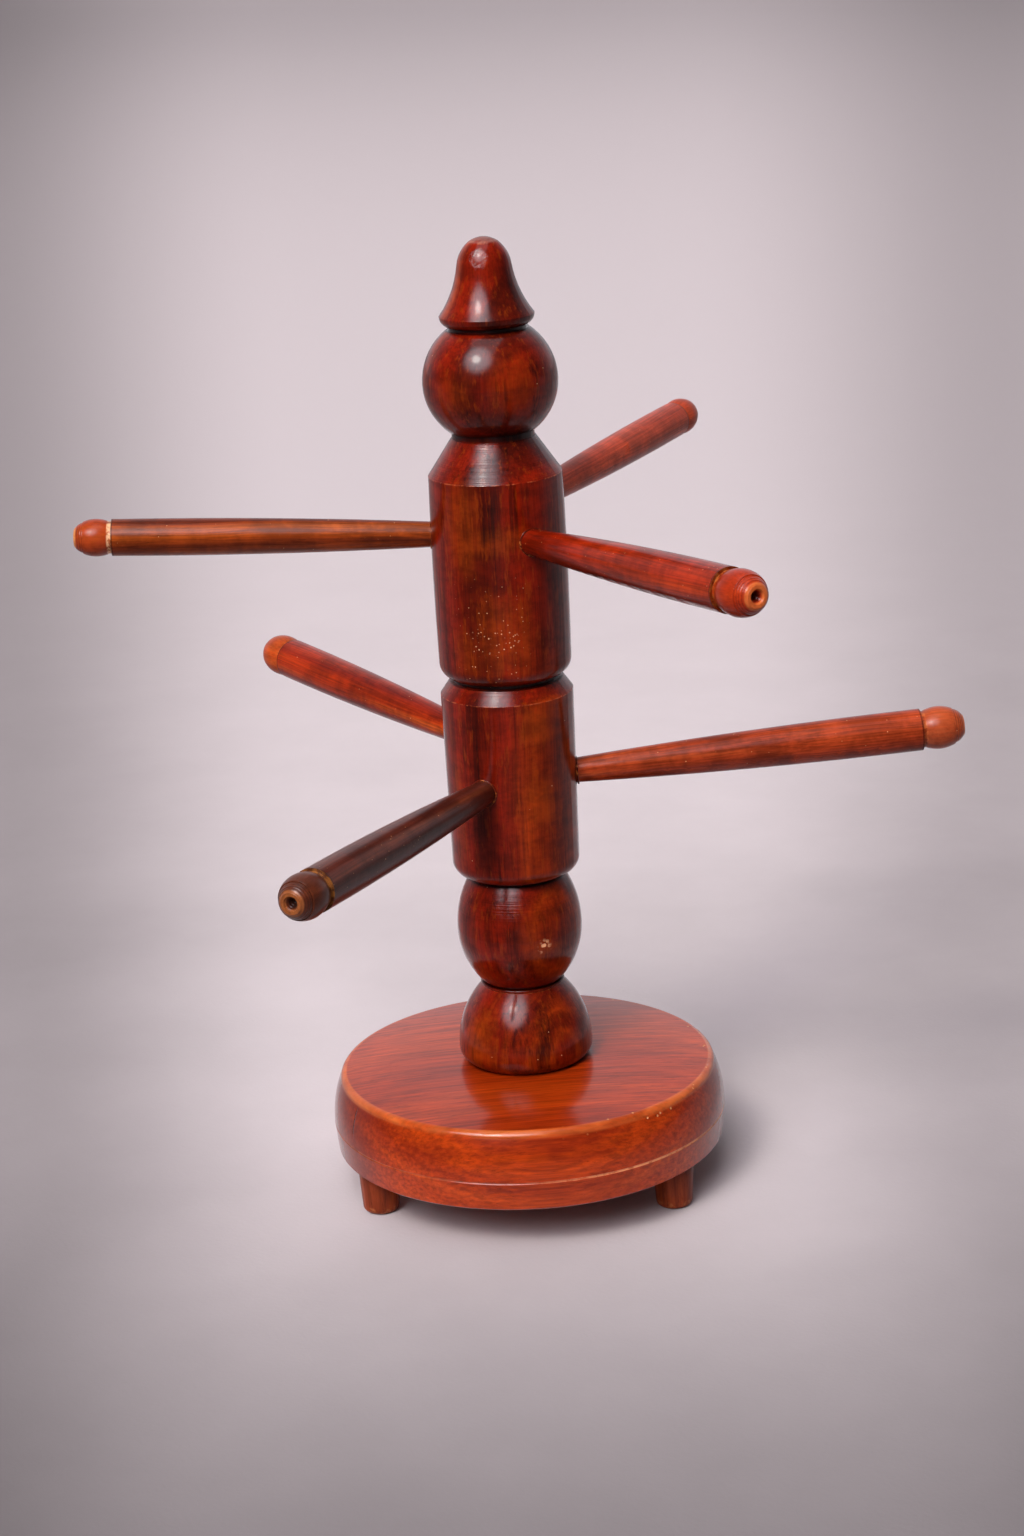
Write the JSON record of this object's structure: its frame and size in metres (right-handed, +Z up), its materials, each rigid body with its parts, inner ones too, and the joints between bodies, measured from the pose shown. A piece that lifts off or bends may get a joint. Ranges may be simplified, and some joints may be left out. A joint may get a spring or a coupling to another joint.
{
  "type": "mug tree",
  "caption": "Turned wooden mug tree: a post with ball finial on a round footed base, with tapered, knobbed pegs in tiers for hanging mugs by their handles.",
  "frame": {"origin": "on the post's axis, on the surface that the three feet stand on", "axes": "+Z up along the post; -Y is the front, where the lower front peg points; +X is to the right seen from the front"},
  "size_m": [0.304, 0.3429, 0.3664],
  "materials": {
    "post_wood": "dark red-brown rosewood under glossy lacquer",
    "base_wood": "orange-red mahogany under glossy lacquer, rim worn pale",
    "foot_wood": "brown stained wood, satin",
    "peg_orange_wood": "orange-red wood under glossy lacquer",
    "peg_golden_wood": "golden-orange wood under satin lacquer",
    "peg_red_wood": "red mahogany under satin lacquer",
    "peg_dull_wood": "dull red-brown wood, satin",
    "peg_dark_wood": "dark brown wood under satin lacquer",
    "zinc_steel": "zinc-plated steel"
  },
  "bodies": {
    "root": {"base": "base_wood", "post": "post_wood", "base_screw": "zinc_steel", "screw_washer": "zinc_steel", "foot_front_left": "foot_wood", "foot_right": "foot_wood", "foot_back": "foot_wood", "peg_lower_front": "peg_dark_wood", "peg_lower_right": "peg_orange_wood", "peg_lower_left": "peg_orange_wood", "peg_upper_left": "peg_golden_wood", "peg_upper_right": "peg_red_wood", "peg_upper_back": "peg_dull_wood"}
  },
  "joints": []
}
